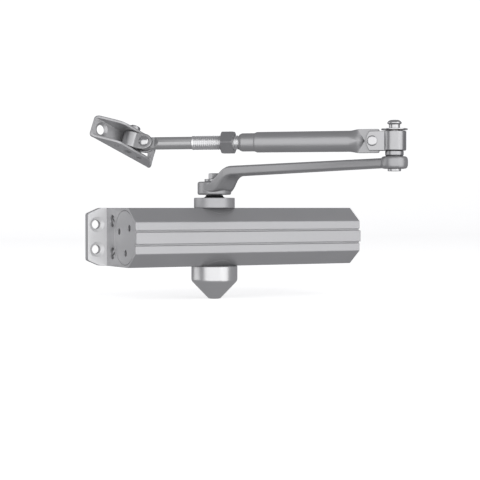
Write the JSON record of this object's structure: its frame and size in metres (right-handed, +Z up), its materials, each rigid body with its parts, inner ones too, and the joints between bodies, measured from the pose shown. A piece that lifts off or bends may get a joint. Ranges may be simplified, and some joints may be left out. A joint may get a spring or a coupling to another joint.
{
  "type": "door closer",
  "caption": "Surface-mounted hydraulic door closer: a long ribbed housing with end lugs, and a folding two-piece arm that ends in a frame bracket.",
  "frame": {"origin": "centre of the housing's mounting face, the face that lies against the door", "axes": "+X along the housing towards the spring end, +Y into the door, +Z up along the pinion towards the arm"},
  "size_m": [0.3315, 0.3035, 0.1667],
  "materials": {
    "silver_paint": "satin silver enamel",
    "satin_steel": "satin zinc-plated steel",
    "bright_steel": "bright plated steel",
    "dark_steel": "oiled spring steel",
    "bronze": "sintered bronze",
    "black_rubber": "matte"
  },
  "bodies": {
    "housing": {"body_housing": "silver_paint", "left_end_plug": "silver_paint", "right_end_plug": "silver_paint", "left_plug_seal": "black_rubber", "right_plug_seal": "black_rubber", "upper_gland_nut": "silver_paint", "lower_gland_nut": "silver_paint", "upper_bearing": "bright_steel", "lower_bearing": "bright_steel", "upper_thrust_washer": "bright_steel", "lower_thrust_washer": "bright_steel", "upper_shaft_seal": "black_rubber", "lower_shaft_seal": "black_rubber", "pinion_cap": "silver_paint", "outer_spring": "dark_steel", "inner_spring": "dark_steel"},
    "sweep_screw": {"sweep_valve": "bright_steel", "sweep_valve_seal": "black_rubber"},
    "latch_screw": {"latch_valve": "bright_steel", "latch_valve_seal": "black_rubber"},
    "piston": {"rack_piston": "satin_steel", "check_ball": "bright_steel", "check_retainer": "bright_steel"},
    "arm": {"pinion_shaft": "satin_steel", "main_arm": "silver_paint", "arm_washer": "satin_steel", "arm_screw": "satin_steel", "elbow_pin": "bright_steel", "elbow_spacer": "satin_steel", "elbow_washer": "satin_steel"},
    "elbow": {"elbow_strap": "satin_steel", "elbow_bush": "bronze"},
    "forearm": {"forearm_tube": "silver_paint", "tongue_rivet": "bright_steel"},
    "nut": {"lock_nut": "satin_steel"},
    "rod": {"threaded_rod": "satin_steel", "knuckle_rivet": "bright_steel"},
    "knuckle": {"knuckle_strap": "satin_steel", "knuckle_bush": "bronze"},
    "bracket": {"frame_bracket": "silver_paint", "pivot_screw": "satin_steel"}
  },
  "joints": [
    {"name": "sweep_adjust", "type": "hinge", "parent": "housing", "child": "sweep_screw", "pos_m": [-0.11925, -0.023, 0.0154], "axis": [1, 0, 0], "range_deg": [-360, 360]},
    {"name": "latch_adjust", "type": "hinge", "parent": "housing", "child": "latch_screw", "pos_m": [-0.11925, -0.023, -0.0154], "axis": [1, 0, 0], "range_deg": [-360, 360]},
    {"name": "piston_slide", "type": "slide", "parent": "housing", "child": "piston", "axis": [1, 0, 0], "range_m": [-0.0042, 0.0208], "deforming": ["outer_spring", "inner_spring"]},
    {"name": "arm_swing", "type": "hinge", "parent": "housing", "child": "arm", "pos_m": [-0.0276, -0.054, 0], "axis": [0, 0, 1], "range_deg": [-125, 25]},
    {"name": "elbow_swing", "type": "hinge", "parent": "arm", "child": "elbow", "pos_m": [0.02043, -0.29221, 0.0829], "axis": [0, 0, 1], "range_deg": [-14, 130]},
    {"name": "forearm_tilt", "type": "hinge", "parent": "elbow", "child": "forearm", "pos_m": [0.00664, -0.28096, 0.0829], "axis": [-0.632, -0.7749, 0], "range_deg": [-6, 4]},
    {"name": "rod_adjust", "type": "slide", "parent": "forearm", "child": "rod", "axis": [-0.7749, 0.632, 0], "range_m": [-0.004, 0.015]},
    {"name": "nut_turn", "type": "hinge", "parent": "rod", "child": "nut", "pos_m": [-0.08341, -0.20752, 0.0829], "axis": [-0.7749, 0.632, 0], "continuous": true},
    {"name": "knuckle_tilt", "type": "hinge", "parent": "rod", "child": "knuckle", "pos_m": [-0.14386, -0.15822, 0.0829], "axis": [-0.5939, -0.7282, 0.342], "range_deg": [-5, 22]},
    {"name": "bracket_swing", "type": "hinge", "parent": "knuckle", "child": "bracket", "pos_m": [-0.15344, -0.14939, 0.08505], "axis": [0.3474, 0.1513, 0.9254], "range_deg": [-20, 75]}
  ],
  "couplings": [
    {"joint": "piston_slide", "follows": "arm_swing", "m_per_rad": -0.0095}
  ]
}
